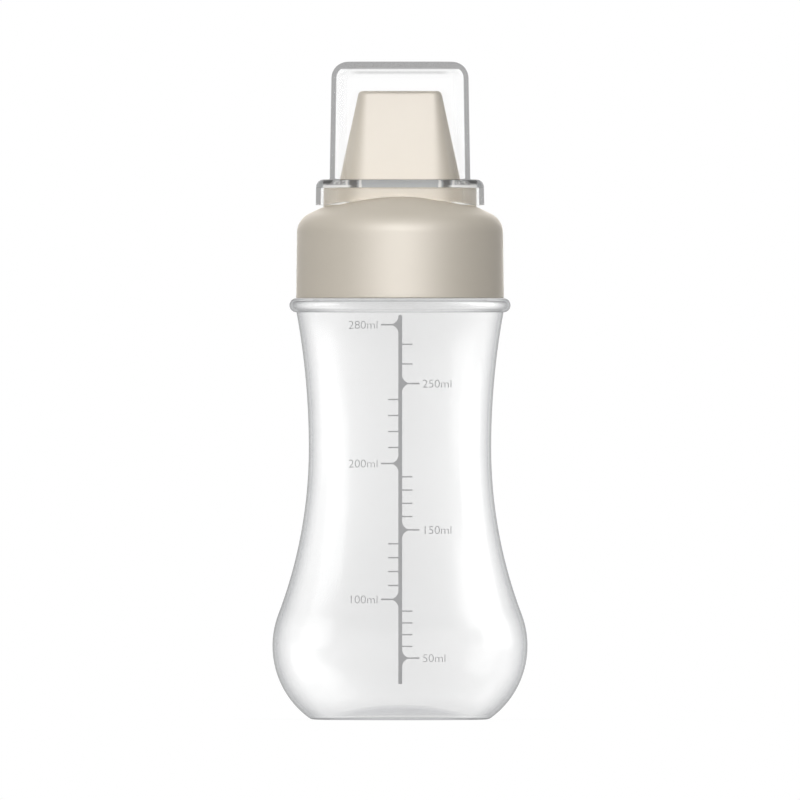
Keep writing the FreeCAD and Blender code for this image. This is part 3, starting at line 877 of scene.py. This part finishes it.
hood_radius = cover_bore + cover_wall
crown_radius = hood_radius - (cover_top - cover_shelf) * cover_draft
shelf_radius = skirt_radius - (cover_shelf - cover_hem) * cover_draft
ceiling_radius = cover_bore - (cover_ceiling - collar_top) * cover_draft
cover = long_oval(
    "cover",
    rounded([
        (crown_radius - 1.2 * crown_round, cover_top, 0),
        (crown_radius, cover_top, crown_round),
        (hood_radius, cover_shelf, inside_corner),
        (shelf_radius, cover_shelf, flange_round),
        (skirt_radius, cover_hem, hem_round),
        (skirt_bore, cover_hem, hem_round),
        (skirt_bore, collar_top + seat_gap, inside_corner),
        (cover_bore, collar_top + seat_gap, inside_corner),
        (ceiling_radius, cover_ceiling, ceiling_round),
        (ceiling_radius - 1.2 * ceiling_round, cover_ceiling, 0),
    ], 8),
)
saddle_curve = dome_curve + dome_gap
saddle_reach = math.degrees(math.acos(cap_radius / saddle_curve))
saddle = lathe(
    "saddle",
    arc((0, dome_middle), saddle_curve, 90, saddle_reach, 40) + [(0, dome_middle)],
    cap_steps,
)
combine(cover, saddle, "DIFFERENCE")
smooth(cover)


def let_light_through(shade, wall, share):
    """Lets a share of the lamps' light pass straight through a wall to what is behind it."""
    shadow = shade.node("ShaderNodeLightPath", output="Is Shadow Ray")
    return layer(shade, share * shadow, wall, seen_through(shade))


# Where the shade, refraction and highlights painted on the flange lie.
flange_middle = (collar_top + cover_shelf) / 2
flange_end = 22.2 * MM
spot_place = 13.2 * MM
spot_width = 2.6 * MM
sliver_gap = 1.95 * MM
refraction_start = 15.5 * MM
corner_start = 19.3 * MM
light_passed = 0.9


def flange_painted_light(shade, from_middle, height):
    """Painted shade and refraction on the flange: grey in the middle for the shaded nozzle base behind
    it, then a dark spot between light slivers, then mottled ends.
    """
    ripple = 0.8 * MM * (grain(shade, 1.4 * MM) - 0.5)
    from_middle = from_middle + ripple
    # Mottled ends of the flange: painted refraction.
    refraction_mottle = step_up(grain(shade, 1.0 * MM, 3.0), 0.35, 0.65)
    mottled_refraction = two_tone(shade, refraction_mottle, screen(150, 150, 150), screen(214, 214, 213))
    at_end = step_up(from_middle, refraction_start, refraction_start + 0.6 * MM)
    colour = two_tone(shade, at_end, screen(167, 170, 172), mottled_refraction)
    # A dark spot with a light sliver to each side: painted refraction.
    from_spot = (from_middle - spot_place).size()
    spot = 1 - step_up(from_spot, 0.25 * spot_width, 0.6 * spot_width)
    sliver = 1 - step_up((from_spot - sliver_gap).size(), 0.15 * MM, 0.6 * MM)
    colour = two_tone(shade, sliver, colour, screen(226, 225, 223))
    colour = two_tone(shade, spot, colour, screen(100, 100, 100))
    before_end = 1 - step_up(from_middle, flange_end - 0.6 * MM, flange_end)
    # A dark patch painted into the upper corner of the flange's ends: painted shadow.
    up_flange = height - flange_middle
    under_corner = corner_start - 0.8 * up_flange
    corner = step_up(from_middle - under_corner, 0, 0.8 * MM)
    corner = corner * step_up(up_flange, -0.3 * MM, 0.2 * MM)
    colour = two_tone(shade, before_end * corner, colour, screen(92, 92, 92))
    # A light line painted along the gap over the collar, towards the ends: a painted highlight.
    gap_highlight = 1 - step_up(height, collar_top + 0.6 * MM, collar_top + 0.9 * MM)
    gap_highlight = gap_highlight * step_up(from_middle, spot_place, refraction_start)
    colour = two_tone(shade, before_end * gap_highlight, colour, screen(246, 246, 245))
    return two_tone(shade, before_end, screen(168, 170, 171), colour)


def clear_wall(name, thick_tint, skirt_shade_tint, rim_share):
    """Clear stiff plastic: open where it is met square on, grey along its walls and roof, with painted
    shade and refraction on the flange, a painted reflection under the roof, painted shade over the
    collar and a painted highlight on the hem.
    """
    finish, shade = new_finish(name)
    smears = grain(shade, 6 * MM, 3.0)
    from_middle = place_on(shade, "X").size()
    height = place_on(shade, "Z")
    turn = shade.node("ShaderNodeNewGeometry", output="Normal")
    upright = shade.node("ShaderNodeSeparateXYZ", sockets={"Vector": turn}, output="Z")
    hood = step_up(height, cover_shelf - 0.1 * MM, cover_shelf)
    away = facing_away(shade)
    side_wall = step_up(away - (0.55 - 0.07 * hood), 0, 0.05)
    over_ceiling = height - cover_ceiling
    roof = step_up(over_ceiling, 0, 0.3 * MM) * (1 - step_up(upright, 0.93, 0.99))
    # A faint grey band painted just under the roof, in the middle of the hood: a painted reflection of
    # the ceiling's edge.
    painted_roof_reflection = step_up(over_ceiling, -1.4 * MM, -1.0 * MM)
    painted_roof_reflection = painted_roof_reflection * (1 - step_up(over_ceiling, -0.7 * MM, -0.3 * MM))
    painted_roof_reflection = painted_roof_reflection * (1 - step_up(from_middle - spout_flat, 2 * MM, 6 * MM))
    thick = side_wall.or_more(roof).or_more(0.36 * painted_roof_reflection)
    wall = layer(shade, thick, seen_through(shade), seen_through(shade, thick_tint))
    glass = shade.node(
        "ShaderNodeBsdfPrincipled",
        sockets={
            "Base Color": (1, 1, 1, 1),
            "Roughness": 0.02 + 0.03 * smears,
            "IOR": stiff_bend,
            "Transmission Weight": 1.0,
        },
    )
    glass = let_light_through(shade, glass, light_passed)
    wall = layer(shade, 0.1 - 0.05 * hood, wall, glass)
    # Over the collar the skirt's front is tinted grey: partly for its thicker plastic, partly as painted
    # shade on the collar behind it.
    skirt_front = (1 - hood) * (1 - step_up(away, 0.05, 0.25))
    wall = layer(shade, skirt_front, wall, seen_through(shade, skirt_shade_tint))
    rim = step_up(height, collar_top, collar_top + 0.2 * MM)
    rim = rim * (1 - step_up(height, cover_shelf - 0.3 * MM, cover_shelf - 0.1 * MM))
    from_dome = shade.node(
        "ShaderNodeVectorMath",
        {"operation": "DISTANCE"},
        {0: place_on(shade), 1: (0, 0, dome_middle)},
        output="Value",
    )
    # A painted highlight along the skirt's lower edge, towards its ends.
    hem_highlight = 1 - step_up(from_dome - saddle_curve, 0.3 * MM, 0.7 * MM)
    hem_highlight = hem_highlight * step_up(from_middle, spot_place, 1.3 * spot_place)
    painted_colour = two_tone(shade, hem_highlight, flange_painted_light(shade, from_middle, height), screen(232, 231, 229))
    painted_layer = shade.node(
        "ShaderNodeBsdfPrincipled",
        sockets={"Base Color": painted_colour, "Roughness": 0.2 + 0.1 * smears, "IOR": stiff_bend},
    )
    painted_layer = let_light_through(shade, painted_layer, light_passed)
    # The painted flange colour and the hem's painted highlight lie over the wall on the flange band and
    # along the hem.
    wall = layer(shade, rim_share * rim.or_more(hem_highlight), wall, painted_layer)
    shade.node("ShaderNodeOutputMaterial", sockets={"Surface": wall})
    return finish


def inside_cover(middle, normal):
    """True on the inner side of the hood and of the skirt, and under the flange."""
    along = max(-spout_flat, min(spout_flat, middle.x))
    outwards = mathutils.Vector((middle.x - along, middle.y)).normalized()
    return normal.xy.dot(outwards) < -0.02 or normal.z < -0.3


wall_grey = screen(206, 206, 206)
skirt_shade_grey = screen(241, 241, 241)
untinted = screen(255, 255, 255)
cover.data.materials.append(clear_wall("clear_stiff_plastic", wall_grey, skirt_shade_grey, 0.9))
line_inside(cover, clear_wall("clear_inner_skin", untinted, untinted, 0.0), inside_cover)
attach(cover, "cover")
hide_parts("dust_cover")

# Studio. A pale floor, a white surround that shows behind and through the clear parts, soft boxes
# at the front, the back and both sides, and a long lens level with the middle of the bottle.
floor_size = 200.0
floor_gap = 0.05 * MM
shadow_reach = 0.06
shadow_strength = 0.13
floor_glow = 0.4
fill_level = 0.2
ceiling_level = 0.3
ceiling_from = 0.2
ceiling_to = 0.45
shown_rays = ("Is Camera Ray", "Is Glossy Ray", "Is Transmission Ray")
bpy.ops.object.select_all(action="DESELECT")
bpy.ops.mesh.primitive_plane_add(size=floor_size, location=(0, 0, -floor_gap))
floor = bpy.context.active_object
floor.name = "floor"
floor_finish, shade = new_finish("pale_floor")
paint = shade.node(
    "ShaderNodeBsdfPrincipled", sockets={"Base Color": screen(244, 244, 244), "Roughness": 0.8})
white = shade.node("ShaderNodeEmission", sockets={"Strength": 1.0})
glow = shade.node("ShaderNodeEmission", sockets={"Strength": floor_glow})
rays = {name: shade.node("ShaderNodeLightPath", output=name) for name in shown_rays}
seen = rays["Is Camera Ray"].or_more(rays["Is Glossy Ray"]).or_more(rays["Is Transmission Ray"])
away = shade.node(
    "ShaderNodeVectorMath", {"operation": "LENGTH"}, {0: place_on(shade)}, output="Value")
near = shadow_strength * (1 - step_up(away, 0, shadow_reach))
lit = shade.node("ShaderNodeAddShader", sockets={0: paint, 1: glow})
surface = layer(shade, seen, paint, layer(shade, near, white, lit))
shade.node("ShaderNodeOutputMaterial", sockets={"Surface": surface})
floor.data.materials.append(floor_finish)

world = bpy.data.worlds.new("white_surround")
bpy.context.scene.world = world
world.use_nodes = True
world.node_tree.nodes.clear()
shade = Shade(world.node_tree)
rays = {name: shade.node("ShaderNodeLightPath", output=name) for name in shown_rays}
direction = shade.node("ShaderNodeTexCoord", output="Generated")
height = shade.node("ShaderNodeSeparateXYZ", sockets={"Vector": direction}, output="Z")
room_level = 1 - (1 - ceiling_level) * step_up(height, ceiling_from, ceiling_to)
fill, room, white = [
    shade.node("ShaderNodeBackground", sockets={"Color": (1, 1, 1, 1), "Strength": level})
    for level in (fill_level, room_level, 1.0)
]
mirrored = rays["Is Glossy Ray"].or_more(rays["Is Transmission Ray"])
surround = layer(shade, mirrored, fill, room)
surround = layer(shade, rays["Is Camera Ray"], surround, white)
shade.node("ShaderNodeOutputWorld", sockets={"Surface": surround})

beige_parts = (cap, nozzle)
print_parts = (cover, scale)
sheen_colour = (1.0, 0.955, 0.91)
white_colour = (1.0, 1.0, 1.0)
# Each soft box has its place, width, height, power and colour, the pieces that it lights, and the
# one kind of light that it gives them, where it gives one only.
soft_boxes = {
    "front": ((-0.38, -1.2, 0.15), 0.5, 0.5, 6.1, white_colour, beige_parts, "diffuse"),
    "print": ((-0.1, -1.2, 0.15), 0.5, 0.5, 12.0, white_colour, print_parts, "diffuse"),
    "sheen": ((0.02, -1.2, 0.55), 1.35, 1.0, 120.0, sheen_colour, beige_parts, "glossy"),
    "back": ((0.25, 1.2, 0.15), 0.5, 0.5, 6.0, white_colour, beige_parts + print_parts, "diffuse"),
    "top": ((0.0, 0.0, 1.2), 0.8, 0.8, 4.5, white_colour, beige_parts + print_parts, "diffuse"),
    "back_sheen": ((0.0, 1.2, 0.5), 1.2, 1.0, 14.0, sheen_colour, beige_parts, "glossy"),
    "nozzle_fill": ((-1.1, 0.03, 0.2), 0.5, 0.5, 1.2, white_colour, (nozzle,), "diffuse"),
    "left": ((-1.0, -0.1, 0.12), 0.6, 0.9, 4.9, white_colour, (bottle, floor), ""),
    "right": ((1.0, 0.2, 0.12), 0.7, 0.9, 7.5, white_colour, (bottle, floor), ""),
    "upper_right": ((0.98, -0.17, 0.62), 0.5, 0.5, 1.7, white_colour, (bottle,), ""),
    "table_left": ((-0.8, 0.04, -0.56), 0.75, 0.75, 7.2, white_colour, (bottle,), ""),
    "table_right": ((0.74, 0.33, -0.52), 0.75, 0.75, 7.0, white_colour, (bottle,), ""),
}
aim = mathutils.Vector((0, 0, 0.12))
for name, (place, width, height, power, colour, lit, only) in soft_boxes.items():
    bpy.ops.object.light_add(type="AREA", location=place)
    box = bpy.context.active_object
    box.name = name + "_soft_box"
    box.data.shape = "RECTANGLE"
    box.data.size = width
    box.data.size_y = height
    box.data.energy = power
    box.data.color = colour
    box.visible_camera = False
    box.visible_transmission = False
    box.visible_diffuse = only != "glossy"
    box.visible_glossy = only != "diffuse"
    box.rotation_euler = (box.location - aim).to_track_quat("Z", "Y").to_euler()
    pieces = bpy.data.collections.new(name + "_lit")
    for piece in lit:
        pieces.objects.link(piece)
    box.light_linking.receiver_collection = pieces
    if place[2] < 0:
        shading = bpy.data.collections.new(name + "_shading")
        for piece in beige_parts + print_parts:
            shading.objects.link(piece)
        box.light_linking.blocker_collection = shading

picture_middle = 90.57 * MM
picture_width = 226.9 * MM
camera_distance = 10.0
bpy.ops.object.camera_add(
    location=(0, -camera_distance, picture_middle), rotation=(math.pi / 2, 0, 0))
camera = bpy.context.active_object
camera.data.lens = camera.data.sensor_width * camera_distance / picture_width
camera.data.clip_end = 2 * camera_distance + floor_size
bpy.context.scene.camera = camera
bpy.context.scene.view_settings.view_transform = "Standard"
